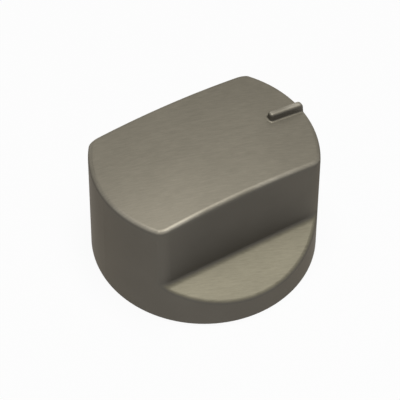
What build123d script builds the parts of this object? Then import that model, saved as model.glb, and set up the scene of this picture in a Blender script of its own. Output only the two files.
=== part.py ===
from build123d import *
import os
from math import acos, asin, cos, degrees, radians, sin, sqrt, tan

# Hob knob: a moulded knob with a grip bar between two finger recesses, and the spring band
# that closes its split boss on the tap spindle.
# Millimetres and degrees. The origin is the centre of the base, +Z is up, the grip bar lies
# along X and the pointer is at its +X end.

# The turned outside
base_diameter = 42.0
side_draft = 0.6
crown_height = 25.0
crown_radius = 140.0
shoulder_radius = 1.0
base_edge_chamfer = 0.3

# The two finger recesses, with the grip bar between them
bar_width_at_foot = 25.9
bar_wall_draft = 0.5
bar_corner_radius = 4.0
bar_corner_break = 14.0
recess_foot_height = 9.0
recess_floor_slope = 24.0
recess_foot_radius = 1.3
recess_edge_radius = 0.95

# The raised pointer on the crown
pointer_start = 13.5
pointer_foot_width = 1.7
pointer_top_width = 1.2
pointer_height = 1.55
pointer_end_setback = 0.1
pointer_end_radius = 0.9
pointer_edge_radius = 0.5
pointer_foot_radius = 0.3

# The shell, and the ribs that tie it to the boss
shell_thickness = 2.2
rib_count = 4
rib_thickness = 1.4
rib_edge_height = 15.5

# The split boss, and its socket for a spindle with a flat
spindle_diameter = 8.0
spindle_across_flat = 6.5
spindle_clearance = 0.05
entry_clearance = 0.25
entry_depth = 5.6
entry_lead_in = 0.6
socket_depth = 20.0
boss_diameter = 13.0
boss_end_height = 1.0
slit_width = 1.2
slit_depth = 13.5

# The spring band, seated in a groove round the boss
spring_thickness = 0.6
spring_width = 4.0
spring_gap_angle = 50.0
spring_corner_radius = 0.6
groove_depth = 0.4
groove_start_height = 8.0
groove_clearance = 0.1

# Sizes that follow from these
base_radius = base_diameter / 2
crown_centre_height = crown_height - crown_radius
boss_radius = boss_diameter / 2
groove_radius = boss_radius - groove_depth
socket_radius = spindle_diameter / 2 + spindle_clearance
flat_offset = spindle_across_flat - spindle_diameter / 2 + spindle_clearance
entry_radius = spindle_diameter / 2 + entry_clearance
reach = base_diameter
standing = (Align.CENTER, Align.CENTER, Align.MIN)


def side_section(inset):
    """Half section of the drafted side, moved in by the inset and taller than the knob."""
    radius = base_radius - inset / cos(radians(side_draft))
    top_radius = radius - reach * tan(radians(side_draft))
    return make_face(Polyline((0, 0), (radius, 0), (top_radius, reach), (0, reach), close=True))


def outer_corners(section):
    """The corners of a half section that are off the axis, from the base up."""
    return section.vertices().filter_by(lambda corner: corner.X > base_radius / 2).sort_by(Axis.Y)


def turned(section):
    """A half section turned about the knob's axis, with its seam away from the pointer."""
    return Rot(0, 0, 180) * revolve(Plane.XZ * section, Axis.Z)


def turned_blank():
    """The outside before the recesses are cut: the side under the crown, with a round shoulder."""
    section = side_section(0) & Pos(0, crown_centre_height) * Circle(crown_radius)
    section = fillet(outer_corners(section)[-1], shoulder_radius)
    return turned(chamfer(outer_corners(section)[0], base_edge_chamfer))


def recess_plan():
    """Plan of a recess at the base: a straight wall, a round corner at each end of the bar, and
    from there a straight run that breaks out of the knob's side at a small angle."""
    wall = bar_width_at_foot / 2 + recess_foot_height * tan(radians(bar_wall_draft))
    turn = acos(wall / base_radius) - radians(bar_corner_break)
    corner_end = wall - bar_corner_radius * (1 - cos(turn))
    wall_end = sqrt(base_radius**2 - corner_end**2) - bar_corner_radius * sin(turn)
    straight = Line((0, wall), (wall_end, wall))
    corner = JernArc(straight @ 1, straight % 1, bar_corner_radius, -degrees(turn))
    run_out = Line(corner @ 1, corner @ 1 + (corner % 1) * base_radius)
    far = run_out @ 1
    half = straight + corner + run_out + Polyline(far, (far.X, reach), (0, reach))
    return make_face(half + mirror(half, Plane.YZ))


def recesses():
    """The two finger recesses as solids: a drafted plan, cut off along the sloping floor and with a
    round foot."""
    block = extrude(recess_plan(), reach, taper=-bar_wall_draft)
    foot = Pos(0, bar_width_at_foot / 2, recess_foot_height)
    floor_plane = Plane(foot * Rot(-recess_floor_slope, 0, 0))
    block = split(block, floor_plane)
    floor = block.faces().filter_by(floor_plane)[0]
    block = fillet(floor.edges(), recess_foot_radius)
    return block + mirror(block, Plane.XZ)


def pointer():
    """The pointer: a drafted rib that follows the crown and ends just inside the knob's side."""
    root = 2 * shoulder_radius
    lean = (pointer_foot_width - pointer_top_width) / 2 / pointer_height
    top = Vector(pointer_top_width / 2, crown_radius + pointer_height)
    low = Vector(pointer_foot_width / 2 + lean * root, crown_radius - root)
    section = make_face(Polyline(top, (-top.X, top.Y), (-low.X, low.Y), low, close=True))
    start = degrees(asin(pointer_start / crown_radius))
    rib = revolve((Plane.YZ * section).rotate(Axis.Y, start), Axis.Y, start)
    rib = Pos(0, 0, crown_centre_height) * rib & turned(side_section(pointer_end_setback))
    outer_end = rib.faces().sort_by(Axis.X)[-1]
    crest = rib.faces().sort_by(Axis.Z)[-1]
    rib = fillet(crest.edges() & outer_end.edges(), pointer_end_radius)
    underside = rib.faces().sort_by(Axis.Z)[0]
    return fillet(rib.edges() - underside.edges(), pointer_edge_radius)


def outside():
    """The knob as a solid lump: the turned blank, a recess with a rolled edge on each side of
    the bar, and the pointer with its foot blended into the crown."""
    blank = turned_blank()
    blocks = recesses()
    lump = blank - blocks
    lump = fillet(new_edges(blank, blocks, combined=lump), recess_edge_radius)
    rib = pointer()
    joined = lump + rib
    return fillet(new_edges(lump, rib, combined=joined), pointer_foot_radius)


def boss_and_ribs():
    """What stays standing in the hollow: the boss, and the ribs between it and the shell."""
    pillar = Pos(0, 0, boss_end_height) * Cylinder(boss_radius, reach, align=standing)
    rib_align = (Align.MIN, Align.CENTER, Align.MIN)
    rib = Pos(0, 0, rib_edge_height) * Box(reach, rib_thickness, reach, align=rib_align)
    for number in range(rib_count):
        pillar += Rot(0, 0, number * 360 / rib_count) * rib
    return pillar


def recess_backs():
    """The bar's walls and the recess floors, one shell thickness deep, as two straight prisms."""
    foot = Vector(bar_width_at_foot / 2, recess_foot_height)
    wall_top = foot + Vector(-tan(radians(bar_wall_draft)), 1) * reach
    floor_end = foot + Vector(1, -tan(radians(recess_floor_slope))) * reach
    section = make_face(Polyline(foot, wall_top, (floor_end.X, wall_top.Y), floor_end, close=True))
    prism = extrude(Plane.YZ * offset(section, shell_thickness), reach, both=True)
    return prism + mirror(prism, Plane.XZ)


def hollow():
    """The space under the knob, one shell thickness inside its outer form. The ball that arches
    it lies with its poles off the knob."""
    crown_ball = Rot(90, 0, 0) * Sphere(crown_radius - shell_thickness)
    space = turned(side_section(shell_thickness)) & Pos(0, 0, crown_centre_height) * crown_ball
    return space - recess_backs() - boss_and_ribs()


def socket():
    """The spindle's room in the boss: a round entry with a lead-in, then the stretch with the
    flat. Two slits beside the entry let the boss spring open."""
    half_section = Polyline(
        (0, 0),
        (entry_radius + entry_lead_in, 0),
        (entry_radius, entry_lead_in),
        (entry_radius, entry_depth),
        (socket_radius, entry_depth),
        (socket_radius, socket_depth),
        (0, socket_depth),
        close=True,
    )
    room = turned(make_face(half_section))
    key_align = (Align.MAX, Align.CENTER, Align.MIN)
    room -= Pos(-flat_offset, 0, entry_depth) * Box(reach, reach, reach, align=key_align)
    room += Box(slit_width, boss_diameter + slit_width, slit_depth, align=standing)
    return Pos(0, 0, boss_end_height) * room


def groove_ring(outer_radius, width):
    """A plain ring from the floor of the groove outwards, standing on the groove's lower edge."""
    band = Cylinder(outer_radius, width, align=standing)
    band -= Cylinder(groove_radius, width, align=standing)
    return Pos(0, 0, groove_start_height) * band


def knob_body():
    """The moulding: the outer form, less its hollow, its socket and the groove for the spring."""
    groove = groove_ring(boss_radius + groove_depth, spring_width + groove_clearance)
    return outside() - hollow() - socket() - groove


def boss_spring():
    """The spring band: a rolled strip with a gap at the back, its four corners rounded."""
    band = groove_ring(groove_radius + spring_thickness, spring_width)
    half_gap = reach * tan(radians(spring_gap_angle / 2))
    gap = make_face(Polyline((0, 0), (-reach, half_gap), (-reach, -half_gap), close=True))
    band -= extrude(gap, reach)
    strip_ends = band.edges().filter_by(GeomType.LINE).filter_by(Plane.XY)
    return fillet(strip_ends, spring_corner_radius)


os.makedirs("parts", exist_ok=True)
export_step(knob_body(), "parts/knob_body.step")
export_step(boss_spring(), "parts/boss_spring.step")
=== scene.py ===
"""Looks of the hob knob: its finishes, and the stage that it is shown on.

Laid out as a Blender add-on and run as a script. All lengths are metres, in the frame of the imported
model: the origin is the centre of the base, +Z is up and the pointer is at the +X end of the bar.
"""

from math import cos, radians, sin, tan

import bpy
import numpy as np
from mathutils import Matrix, Vector

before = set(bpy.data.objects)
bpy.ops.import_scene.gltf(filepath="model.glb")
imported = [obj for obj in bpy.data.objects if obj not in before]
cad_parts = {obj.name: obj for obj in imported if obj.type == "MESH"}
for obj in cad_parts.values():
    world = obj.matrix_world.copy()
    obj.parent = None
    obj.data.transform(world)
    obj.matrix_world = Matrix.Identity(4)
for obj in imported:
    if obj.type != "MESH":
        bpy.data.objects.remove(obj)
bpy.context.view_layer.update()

bl_info = {
    "name": "Hob Knob Looks",
    "version": (1, 0, 0),
    "blender": (4, 5, 0),
    "location": "3D View > Sidebar > Hob Knob",
    "description": "Finishes for a hob knob with a grip bar, and a plain stage to show it on",
    "category": "Material",
}

MM = 0.001
PHOTO_PIXELS = 400
HALF_PIXEL = 0.5 / PHOTO_PIXELS
SENSOR_WIDTH = 36.0
NEAR_CLIP = 7 * MM

# The outer form, as the part's source has it: how deep a point lies under the skin follows from these
base_radius = 21.0 * MM
side_draft = radians(0.6)
crown_height = 25.0 * MM
crown_radius = 140.0 * MM
bar_half_width = 12.95 * MM
bar_wall_draft = radians(0.5)
recess_foot_height = 9.0 * MM
recess_floor_slope = radians(24.0)

# Patterns of the moulding's finish: their sizes, and how far they change the colour as a share of it
cloud_size = 9.0 * MM
cloud_tone = 0.20
flake_size = 0.07 * MM
flake_tone = 0.16
mould_grain_size = 0.25 * MM
mould_grain_tone = 0.2
mould_cloud_tone = 0.1
noise_roughness = 0.55

# The brushed grain: shares of its streaks and of the finer hairlines in them, and its strength
streak_share = 0.7
hairline_share = 0.3
hairlines_per_streak = 3
crown_grain = 0.75
recess_grain = 1.25

# Where the moulding's finish changes: a change begins at the first value and is complete at the second
# Faces that look up get the grain of brushing and the lighter colour; upright faces get a darker one,
# which is painted shade
brushed_and_lit_facing = (0.3, 0.8)
# Only the upper half of the edges' rounding gets the lighter colour, which is a painted highlight
rubbed_and_highlit_facing = (0.4, 0.8)
rubbed_and_highlit_clouds = (-0.25, 0.25)
edge_depth = (0.1 * MM, 0.9 * MM)
fresh_depth = (1.0 * MM, 6.0 * MM)
plastic_depth = (0.5 * MM, 1.7 * MM)
crest_height = (1.35 * MM, 1.65 * MM)

# Wear, painted highlight, gloss and relief of the moulding
shoulder_wear_and_highlight = 0.5
grain_roughness = 0.16
rubbed_polish = 0.08
plastic_roughness = 0.58
gloss_level = 0.2
gloss_tint = (0.55, 0.49, 0.41)
grain_bump = 0.6
mould_grain_relief = 0.6

# Patterns and gloss of the spring's steel
steel_cloud_size = 2.5 * MM
steel_cloud_tone = 0.25
roll_line_tone = 0.25
roll_line_squeeze = 0.05
roll_line_depth = 0.003 * MM
roll_line_bump = 0.5
steel_roughness = 0.35
roll_line_roughness = 0.12
steel_cloud_roughness = 0.1


class BodyFinish(bpy.types.PropertyGroup):
    """The moulding's satin nickel skin, and the bare plastic inside it."""

    nickel_colour: bpy.props.FloatVectorProperty(
        name="Nickel",
        description="Colour of the brushed skin on the crown, which hands rub",
        subtype="COLOR",
        size=3,
        min=0,
        max=1,
        default=(0.150, 0.137, 0.108),
    )
    recess_colour: bpy.props.FloatVectorProperty(
        name="Recess floors",
        description="Colour of the brushed skin in the recesses, where it is fresher and a little warmer",
        subtype="COLOR",
        size=3,
        min=0,
        max=1,
        default=(0.150, 0.138, 0.101),
    )
    # Upright faces take this darker colour as painted shade
    shaded_side_colour: bpy.props.FloatVectorProperty(
        name="Sides",
        description="Colour of the skin on upright faces, which are not brushed",
        subtype="COLOR",
        size=3,
        min=0,
        max=1,
        default=(0.112, 0.104, 0.089),
    )
    # The lighter colour that this gives the bar's edges, the shoulders and the pointer's crest is a
    # painted highlight
    painted_highlight_colour: bpy.props.FloatVectorProperty(
        name="Rubbed edges",
        description="Colour of the skin where fingers have rubbed the bar's edges and the pointer's crest",
        subtype="COLOR",
        size=3,
        min=0,
        max=1,
        default=(0.330, 0.308, 0.258),
    )
    plastic_colour: bpy.props.FloatVectorProperty(
        name="Bare plastic",
        description="Colour of the moulding where the skin ends, in the hollow under the knob",
        subtype="COLOR",
        size=3,
        min=0,
        max=1,
        default=(0.160, 0.157, 0.150),
    )
    metal_share: bpy.props.FloatProperty(
        name="Metal share",
        description="How far the skin mirrors as metal does, and does not scatter as paint does",
        subtype="FACTOR",
        min=0,
        max=1,
        default=0.70,
    )
    roughness: bpy.props.FloatProperty(
        name="Roughness",
        description="Roughness of the satin skin",
        subtype="FACTOR",
        min=0,
        max=1,
        default=0.53,
    )
    grain_turn: bpy.props.FloatProperty(
        name="Grain direction",
        description="Turn of the brushed grain from the bar's direction, seen from above",
        subtype="ANGLE",
        default=radians(-18.0),
    )
    grain_length: bpy.props.FloatProperty(
        name="Grain length",
        description="Length of one brushed streak",
        unit="LENGTH",
        min=0.1 * MM,
        default=2.0 * MM,
    )
    grain_width: bpy.props.FloatProperty(
        name="Grain width",
        description="Width of one brushed streak",
        unit="LENGTH",
        min=0.01 * MM,
        default=0.26 * MM,
    )
    grain_contrast: bpy.props.FloatProperty(
        name="Grain contrast",
        description="How far the streaks change the skin's colour, as a share of it",
        subtype="FACTOR",
        min=0,
        max=1,
        default=0.72,
    )
    grain_depth: bpy.props.FloatProperty(
        name="Grain depth",
        description="Height between the low and the high places of the grain",
        unit="LENGTH",
        min=0,
        default=0.0015 * MM,
    )


class SpringFinish(bpy.types.PropertyGroup):
    """The bright steel strip round the boss."""

    steel_colour: bpy.props.FloatVectorProperty(
        name="Steel",
        description="Colour of the rolled strip",
        subtype="COLOR",
        size=3,
        min=0,
        max=1,
        default=(0.50, 0.50, 0.51),
    )
    roll_line_height: bpy.props.FloatProperty(
        name="Rolling lines",
        description="Distance between the fine lines that rolling leaves along the strip",
        unit="LENGTH",
        min=0.01 * MM,
        default=0.12 * MM,
    )


class StageSettings(bpy.types.PropertyGroup):
    """The floor, the lamps and the camera."""

    floor_radius: bpy.props.FloatProperty(
        name="Floor radius",
        description="Radius of the round floor",
        unit="LENGTH",
        min=0.1,
        default=1.2,
    )
    floor_drop: bpy.props.FloatProperty(
        name="Floor drop",
        description="How far the floor lies under the base rim, so that the two do not share a plane",
        unit="LENGTH",
        min=0,
        default=0.03 * MM,
    )
    floor_colour: bpy.props.FloatVectorProperty(
        name="Floor",
        description="Colour of the floor in the light that it throws back",
        subtype="COLOR",
        size=3,
        min=0,
        max=1,
        default=(0.60, 0.60, 0.60),
    )
    floor_white: bpy.props.FloatProperty(
        name="Floor white",
        description="How much of the floor is even white to the camera and in reflections",
        subtype="FACTOR",
        min=0,
        max=1,
        default=0.94,
    )
    softbox_size: bpy.props.FloatProperty(
        name="Softbox size",
        description="Side of each square lamp above",
        unit="LENGTH",
        min=0.01,
        default=0.2,
    )
    top_power: bpy.props.FloatProperty(
        name="Lamp overhead",
        description="Power of the soft lamp straight overhead",
        unit="POWER",
        min=0,
        default=2.0,
    )
    top_place: bpy.props.FloatVectorProperty(
        name="Place overhead",
        description="Where the lamp overhead hangs",
        subtype="XYZ",
        unit="LENGTH",
        size=3,
        default=(0, 0, 0.5),
    )
    front_power: bpy.props.FloatProperty(
        name="Lamp in front",
        description="Power of the soft lamp high in front",
        unit="POWER",
        min=0,
        default=0.8,
    )
    front_place: bpy.props.FloatVectorProperty(
        name="Place in front",
        description="Where the lamp in front hangs",
        subtype="XYZ",
        unit="LENGTH",
        size=3,
        default=(0.02, -0.14, 0.48),
    )
    under_power: bpy.props.FloatProperty(
        name="Lamp below",
        description="Power of the lamp that shines up through the floor, for views from below",
        unit="POWER",
        min=0,
        default=1.2,
    )
    under_place: bpy.props.FloatVectorProperty(
        name="Place below",
        description="Where the lamp below stands",
        subtype="XYZ",
        unit="LENGTH",
        size=3,
        default=(0, 0, -0.3),
    )
    under_size: bpy.props.FloatProperty(
        name="Size below",
        description="Side of the square lamp below",
        unit="LENGTH",
        min=0.01,
        default=0.3,
    )
    camera_azimuth: bpy.props.FloatProperty(
        name="Camera azimuth",
        description="Turn of the camera round the knob from its front",
        subtype="ANGLE",
        default=radians(-31.285),
    )
    camera_elevation: bpy.props.FloatProperty(
        name="Camera elevation",
        description="Height of the camera's line of sight over the floor",
        subtype="ANGLE",
        default=radians(49.592),
    )
    camera_roll: bpy.props.FloatProperty(
        name="Camera roll",
        description="Turn of the camera about its line of sight",
        subtype="ANGLE",
        default=radians(0.368),
    )
    camera_distance: bpy.props.FloatProperty(
        name="Camera distance",
        description="From the camera to the point that it is aimed beside",
        unit="LENGTH",
        min=0.05,
        default=0.35897,
    )
    camera_aim_height: bpy.props.FloatProperty(
        name="Aim height",
        description="Height over the floor of the point that the camera is aimed beside",
        unit="LENGTH",
        default=9.958 * MM,
    )
    camera_sidestep: bpy.props.FloatProperty(
        name="Camera sidestep",
        description="How far the camera stands to the right of a straight aim",
        unit="LENGTH",
        default=-0.617 * MM,
    )
    camera_lens: bpy.props.FloatProperty(
        name="Lens",
        description="Focal length of the camera",
        unit="CAMERA",
        min=10,
        default=176.14,
    )


class KnobLooks(bpy.types.PropertyGroup):
    """All settings of the hob knob's looks."""

    body: bpy.props.PointerProperty(
        name="Moulding",
        description="Finish of the moulding",
        type=BodyFinish,
    )
    spring: bpy.props.PointerProperty(
        name="Spring band",
        description="Finish of the spring band",
        type=SpringFinish,
    )
    stage: bpy.props.PointerProperty(
        name="Stage",
        description="Floor, lamps and camera",
        type=StageSettings,
    )


class Wire:
    """A shader socket that Python's arithmetic works on: each operation adds a Math node."""

    def __init__(self, tree, socket=None):
        self.tree = tree
        self.socket = socket

    def node(self, kind, settings, inputs):
        """Adds a node of a type. Its settings are made first, then its sockets are linked or set."""
        made = self.tree.nodes.new(kind)
        for name, value in settings.items():
            setattr(made, name, value)
        for name, value in inputs.items():
            if isinstance(value, Wire):
                self.tree.links.new(value.socket, made.inputs[name])
            else:
                made.inputs[name].default_value = value
        return made

    def out(self, kind, settings, inputs, output=0):
        """Adds a node and gives one of its outputs as a wire."""
        return Wire(self.tree, self.node(kind, settings, inputs).outputs[output])

    def math(self, operation, *values):
        """Adds one Math node on these values."""
        return self.out("ShaderNodeMath", {"operation": operation}, dict(enumerate(values)))

    def __add__(self, other):
        return self.math("ADD", self, other)

    def __radd__(self, other):
        return self.math("ADD", other, self)

    def __sub__(self, other):
        return self.math("SUBTRACT", self, other)

    def __rsub__(self, other):
        return self.math("SUBTRACT", other, self)

    def __mul__(self, other):
        return self.math("MULTIPLY", self, other)

    def __rmul__(self, other):
        return self.math("MULTIPLY", other, self)

    def __pow__(self, other):
        return self.math("POWER", self, other)

    def __abs__(self):
        return self.math("ABSOLUTE", self)

    def least(self, other):
        """The smaller of two values."""
        return self.math("MINIMUM", self, other)

    def most(self, other):
        """The larger of two values."""
        return self.math("MAXIMUM", self, other)

    def ramp(self, low, high):
        """0 below one value, 1 above the other, with a smooth rise between them."""
        limits = {"Value": self, "From Min": low, "From Max": high}
        return self.out("ShaderNodeMapRange", {"interpolation_type": "SMOOTHSTEP"}, limits)

    def blend(self, first, second):
        """The first colour where this value is 0 and the second where it is 1."""
        colours = {0: self, 6: paint(first), 7: paint(second)}
        return self.out("ShaderNodeMix", {"data_type": "RGBA"}, colours, 2)


def paint(colour):
    """A colour for a socket: a wire as it is, three numbers with an alpha of 1."""
    return colour if isinstance(colour, Wire) else (*colour, 1.0)


def new_material(name):
    """An empty material, and a wire on its node tree."""
    material = bpy.data.materials.new(name)
    material.use_nodes = True
    material.node_tree.nodes.clear()
    return material, Wire(material.node_tree)


def noise(tree, place, size, detail):
    """Noise from -0.5 to 0.5 whose grains have about the given size, in metres."""
    inputs = {"Vector": place, "Scale": 1 / size, "Detail": detail, "Roughness": noise_roughness}
    return tree.out("ShaderNodeTexNoise", {"noise_dimensions": "3D"}, inputs) - 0.5


def squeezed(tree, place, turn, squeeze):
    """Object coordinates turned about Z, then squeezed along each axis, which draws a pattern out."""
    point = {"vector_type": "POINT"}
    turned = tree.out("ShaderNodeMapping", point, {"Vector": place, "Rotation": (0, 0, -turn)})
    return tree.out("ShaderNodeMapping", point, {"Vector": turned, "Scale": squeeze})


def toned(tree, colour, tone):
    """A colour made darker or lighter by a tone, where 1 leaves it as it is."""
    return tree.out("ShaderNodeVectorMath", {"operation": "SCALE"}, {0: colour, "Scale": tone})


def skin_depths(tree, place):
    """How deep a point lies under the turned side, under the crown, and behind the recesses.

    Under the side: the cone's radius at that height, less the distance from the axis. Under the
    crown: the ball's radius, less the distance from its centre. Behind a recess: the larger of the
    depths behind its wall and under its floor.
    """
    parts = tree.node("ShaderNodeSeparateXYZ", {}, {"Vector": place})
    x, y, z = (Wire(tree.tree, output) for output in parts.outputs)
    across = x * x + y * y
    side = base_radius - z * tan(side_draft) - across**0.5
    above_centre = z + (crown_radius - crown_height)
    crown = crown_radius - (across + above_centre * above_centre) ** 0.5
    above_foot = z - recess_foot_height
    beyond_foot = abs(y) - bar_half_width
    wall = 0 - beyond_foot - above_foot * tan(bar_wall_draft)
    floor = 0 - above_foot - beyond_foot * tan(recess_floor_slope)
    return side, crown, wall.most(floor)


def satin_nickel(settings):
    """The moulding's finish.

    Streaks of brushing run along one direction in plan, on faces that look up. They are a noise that is
    stretched along that direction, and they change the colour, the roughness and the height a little.
    Faces that look up have the lighter nickel or recess colour, and upright faces a darker one, which is
    painted shade. Hands have worn the streaks fainter on the crown than in the recesses. The bar's two
    long edges, where a point is near the crown and a recess at once, are polished smoother by hands where
    they look up, and so is the pointer's crest; the lighter colour given there is a painted highlight.
    The shoulder at the bar's ends gets half as much. The skin fades out over the base rim, where a point
    is deep under every skin, and leaves bare plastic in the hollow.
    """
    material, tree = new_material("satin_nickel_finish")
    place = tree.out("ShaderNodeTexCoord", {}, {}, "Object")
    side, crown, recess = skin_depths(tree, place)
    facing = tree.out("ShaderNodeTexCoord", {}, {}, "Normal")
    upward = tree.out("ShaderNodeSeparateXYZ", {}, {"Vector": facing}, "Z")
    # Painted shade: upright faces get a darker colour than faces that look up, and the grain keeps to the
    # latter
    brushed_and_lit = upward.ramp(*brushed_and_lit_facing)
    fresh = crown.ramp(*fresh_depth)
    inside = side.least(crown).least(recess).ramp(*plastic_depth)

    squeeze = settings.grain_width / settings.grain_length
    along_grain = squeezed(tree, place, settings.grain_turn, (squeeze, 1.0, squeeze))
    streaks = noise(tree, along_grain, settings.grain_width, detail=3.0)
    hairlines = noise(tree, along_grain, settings.grain_width / hairlines_per_streak, detail=1.0)
    clouds = noise(tree, place, cloud_size, detail=2.0)
    flakes = noise(tree, place, flake_size, detail=1.0)
    mould_grain = noise(tree, place, mould_grain_size, detail=2.0)
    grain_strength = crown_grain + fresh * (recess_grain - crown_grain)
    grain = (streaks * streak_share + hairlines * hairline_share) * brushed_and_lit * grain_strength

    # Painted highlight: a lighter colour on the upper half of the bar's edges, the shoulders and the
    # crest; the lower roughness there is polish from hands
    bar_edge = 1 - crown.most(recess).ramp(*edge_depth)
    shoulder = 1 - crown.most(side).ramp(*edge_depth)
    crest = (0 - crown).ramp(*crest_height)
    touched_and_highlit = bar_edge.most(shoulder * shoulder_wear_and_highlight).most(crest) * upward.ramp(*rubbed_and_highlit_facing)
    rubbed_and_highlit = touched_and_highlit * clouds.ramp(*rubbed_and_highlit_clouds) * (1 - inside)

    skin_tone = 1 + grain * settings.grain_contrast + clouds * cloud_tone + flakes * flake_tone
    brushed_colour = fresh.blend(settings.nickel_colour, settings.recess_colour)
    # Upright faces are darkened as painted shade; the edges and the crest are lightened as a painted
    # highlight
    skin_colour = rubbed_and_highlit.blend(brushed_and_lit.blend(settings.shaded_side_colour, brushed_colour), settings.painted_highlight_colour)
    skin = toned(tree, skin_colour, skin_tone)
    plastic_tone = 1 + mould_grain * mould_grain_tone + clouds * mould_cloud_tone
    plastic = toned(tree, settings.plastic_colour, plastic_tone)
    roughness = settings.roughness + grain * grain_roughness - rubbed_and_highlit * rubbed_polish
    height = grain * (1 - inside) + mould_grain * inside * mould_grain_relief
    relief = {"Strength": grain_bump, "Distance": settings.grain_depth, "Height": height}
    shader = tree.out(
        "ShaderNodeBsdfPrincipled",
        {"distribution": "MULTI_GGX"},
        {
            "Base Color": inside.blend(skin, plastic),
            "Metallic": settings.metal_share * (1 - inside),
            "Roughness": roughness + inside * (plastic_roughness - roughness),
            "Normal": tree.out("ShaderNodeBump", {}, relief),
            "Specular IOR Level": gloss_level,
            "Specular Tint": paint(gloss_tint),
        },
    )
    tree.node("ShaderNodeOutputMaterial", {}, {"Surface": shader})
    return material


def spring_steel(settings):
    """The strip's finish: fine rolling lines round the boss, with dull and bright places."""
    material, tree = new_material("spring_steel")
    place = tree.out("ShaderNodeTexCoord", {}, {}, "Object")
    along_strip = squeezed(tree, place, 0.0, (roll_line_squeeze, roll_line_squeeze, 1.0))
    lines = noise(tree, along_strip, settings.roll_line_height, detail=2.0)
    clouds = noise(tree, place, steel_cloud_size, detail=2.0)
    tone = 1 + lines * roll_line_tone + clouds * steel_cloud_tone
    relief = {"Strength": roll_line_bump, "Distance": roll_line_depth, "Height": lines}
    shader = tree.out(
        "ShaderNodeBsdfPrincipled",
        {"distribution": "MULTI_GGX"},
        {
            "Base Color": toned(tree, settings.steel_colour, tone),
            "Metallic": 1.0,
            "Roughness": steel_roughness + lines * roll_line_roughness + clouds * steel_cloud_roughness,
            "Normal": tree.out("ShaderNodeBump", {}, relief),
        },
    )
    tree.node("ShaderNodeOutputMaterial", {}, {"Surface": shader})
    return material


def ray_kinds(tree, *kinds):
    """1 for rays of any of these kinds, and 0 for all others."""
    found = 0
    for kind in kinds:
        found = tree.out("ShaderNodeLightPath", {}, {}, kind).most(found)
    return found


def seen_rays(tree):
    """1 for rays from the camera, in reflections and through glass, and 0 for all others."""
    return ray_kinds(tree, "Is Camera Ray", "Is Glossy Ray", "Is Transmission Ray")


def floor_paper(settings):
    """The floor's finish: pale paper that takes shadows, seen through from below."""
    material, tree = new_material("pale_floor")
    behind = tree.out("ShaderNodeNewGeometry", {}, {}, "Backfacing")
    see_through = behind.most(ray_kinds(tree, "Is Shadow Ray"))
    paper = tree.out("ShaderNodeBsdfDiffuse", {}, {"Color": paint(settings.floor_colour)})
    white = tree.out("ShaderNodeEmission", {}, {"Color": (1, 1, 1, 1), "Strength": 1.0})
    clear = tree.out("ShaderNodeBsdfTransparent", {}, {})
    whitened = seen_rays(tree) * settings.floor_white
    pale = tree.out("ShaderNodeMixShader", {}, {0: whitened, 1: paper, 2: white})
    surface = tree.out("ShaderNodeMixShader", {}, {0: see_through, 1: pale, 2: clear})
    tree.node("ShaderNodeOutputMaterial", {}, {"Surface": surface})
    return material


def disc(radius, height, rings=6, spokes=96):
    """A flat round mesh at a height: rings of points at even steps of radius, round a centre.

    A point is radius * share * (cos turn, sin turn), for a share from 0 to 1 and a turn all round.
    """
    share, turn = np.meshgrid(
        np.linspace(1 / rings, 1, rings), np.linspace(0, 2 * np.pi, spokes, endpoint=False), indexing="ij"
    )
    ring_points = np.stack([share * np.cos(turn), share * np.sin(turn), 0 * turn], axis=-1) * radius
    points = np.vstack([np.zeros((1, 3)), ring_points.reshape(-1, 3)]) + (0, 0, height)
    number = 1 + np.arange(rings * spokes).reshape(rings, spokes)
    after = np.roll(number, -1, axis=1)
    quads = np.stack([number[:-1], number[1:], after[1:], after[:-1]], axis=-1).reshape(-1, 4)
    middle = np.stack([0 * number[0], number[0], after[0]], axis=-1)
    mesh = bpy.data.meshes.new("floor")
    mesh.from_pydata(points.tolist(), [], middle.tolist() + quads.tolist())
    return mesh


def area_lamp(name, size, power, place, aim):
    """A square soft lamp at a place, turned towards the aim, and not seen by the camera itself."""
    lamp = bpy.data.lights.new(name, "AREA")
    lamp.size = size
    lamp.energy = power
    holder = bpy.data.objects.new(name, lamp)
    holder.location = place
    holder.rotation_euler = (Vector(aim) - Vector(place)).to_track_quat("-Z", "Y").to_euler()
    holder.visible_camera = False
    bpy.context.scene.collection.objects.link(holder)


def photo_camera(settings):
    """The photo's camera: it looks from its azimuth and elevation, a sidestep off a straight aim.

    The half pixel in its shift is the step between pixel corners and pixel middles.
    """
    azimuth, elevation, roll = settings.camera_azimuth, settings.camera_elevation, settings.camera_roll
    back = Vector((sin(azimuth) * cos(elevation), -cos(azimuth) * cos(elevation), sin(elevation)))
    level_right = Vector((cos(azimuth), sin(azimuth), 0))
    level_up = back.cross(level_right)
    right = cos(roll) * level_right + sin(roll) * level_up
    up = back.cross(right)
    place = Vector((0, 0, settings.camera_aim_height)) + settings.camera_sidestep * right
    place += settings.camera_distance * back
    camera = bpy.data.cameras.new("photo_camera")
    camera.sensor_width = SENSOR_WIDTH
    camera.lens = settings.camera_lens
    camera.shift_x = -HALF_PIXEL
    camera.shift_y = HALF_PIXEL
    camera.clip_start = NEAR_CLIP
    holder = bpy.data.objects.new("photo_camera", camera)
    axes = Matrix((right, up, back)).transposed().to_4x4()
    holder.matrix_world = Matrix.Translation(place) @ axes
    bpy.context.scene.collection.objects.link(holder)
    bpy.context.scene.camera = holder


def pale_world():
    """White all round to the camera and in reflections. It sheds no other light on the knob."""
    world = bpy.data.worlds.new("pale_world")
    world.use_nodes = True
    world.node_tree.nodes.clear()
    tree = Wire(world.node_tree)
    white = {"Color": (1, 1, 1, 1), "Strength": seen_rays(tree)}
    background = tree.out("ShaderNodeBackground", {}, white)
    tree.node("ShaderNodeOutputWorld", {}, {"Surface": background})
    bpy.context.scene.world = world


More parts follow.
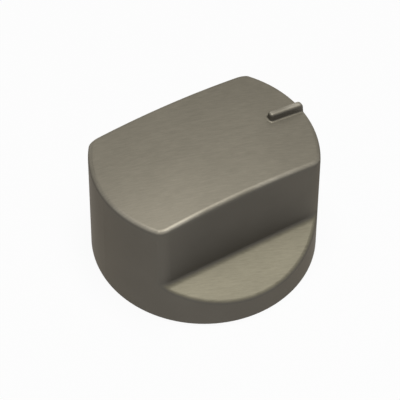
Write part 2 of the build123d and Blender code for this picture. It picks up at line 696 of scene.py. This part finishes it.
def finish_node(node, material):
    """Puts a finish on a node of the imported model, in place of the plain colour that it came with."""
    node.data.materials.clear()
    node.data.materials.append(material)


class HOBKNOB_OT_finish_body(bpy.types.Operator):
    """Give the moulding its satin nickel skin, and bare plastic in its hollow"""

    bl_idname = "hob_knob.finish_body"
    bl_label = "Finish the Moulding"

    def execute(self, context):
        finish_node(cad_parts["knob_body"], satin_nickel(context.scene.hob_knob.body))
        return {"FINISHED"}


class HOBKNOB_OT_finish_spring(bpy.types.Operator):
    """Give the spring band its bright rolled steel"""

    bl_idname = "hob_knob.finish_spring"
    bl_label = "Finish the Spring Band"

    def execute(self, context):
        finish_node(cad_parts["boss_spring"], spring_steel(context.scene.hob_knob.spring))
        return {"FINISHED"}


class HOBKNOB_OT_set_stage(bpy.types.Operator):
    """Lay the floor, hang the lamps and set up the photo's camera"""

    bl_idname = "hob_knob.set_stage"
    bl_label = "Set the Stage"

    def execute(self, context):
        settings = context.scene.hob_knob.stage
        floor = bpy.data.objects.new("floor", disc(settings.floor_radius, -settings.floor_drop))
        floor.data.materials.append(floor_paper(settings))
        context.scene.collection.objects.link(floor)
        aim = (0, 0, crown_height / 2)
        softbox = settings.softbox_size
        area_lamp("top_softbox", softbox, settings.top_power, settings.top_place, aim)
        area_lamp("front_softbox", softbox, settings.front_power, settings.front_place, aim)
        area_lamp("lamp_below", settings.under_size, settings.under_power, settings.under_place, aim)
        pale_world()
        photo_camera(settings)
        context.scene.view_settings.view_transform = "Standard"
        return {"FINISHED"}


class HOBKNOB_PT_looks(bpy.types.Panel):
    """Lists the finishes and the stage"""

    bl_label = "Hob Knob"
    bl_idname = "HOBKNOB_PT_looks"
    bl_space_type = "VIEW_3D"
    bl_region_type = "UI"
    bl_category = "Hob Knob"

    def draw(self, context):
        looks = context.scene.hob_knob
        for group, operator in (
            (looks.body, HOBKNOB_OT_finish_body),
            (looks.spring, HOBKNOB_OT_finish_spring),
            (looks.stage, HOBKNOB_OT_set_stage),
        ):
            box = self.layout.box()
            for name in group.__annotations__:
                box.prop(group, name)
            box.operator(operator.bl_idname)


classes = (
    BodyFinish,
    SpringFinish,
    StageSettings,
    KnobLooks,
    HOBKNOB_OT_finish_body,
    HOBKNOB_OT_finish_spring,
    HOBKNOB_OT_set_stage,
    HOBKNOB_PT_looks,
)


def register():
    """Registers the classes and the scene's settings."""
    for kind in classes:
        bpy.utils.register_class(kind)
    bpy.types.Scene.hob_knob = bpy.props.PointerProperty(type=KnobLooks)


def unregister():
    """Takes the settings and the classes out again."""
    del bpy.types.Scene.hob_knob
    for kind in reversed(classes):
        bpy.utils.unregister_class(kind)


def main():
    """Registers the add-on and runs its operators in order."""
    register()
    bpy.ops.hob_knob.finish_body()
    bpy.ops.hob_knob.finish_spring()
    bpy.ops.hob_knob.set_stage()


if __name__ == "__main__":
    main()
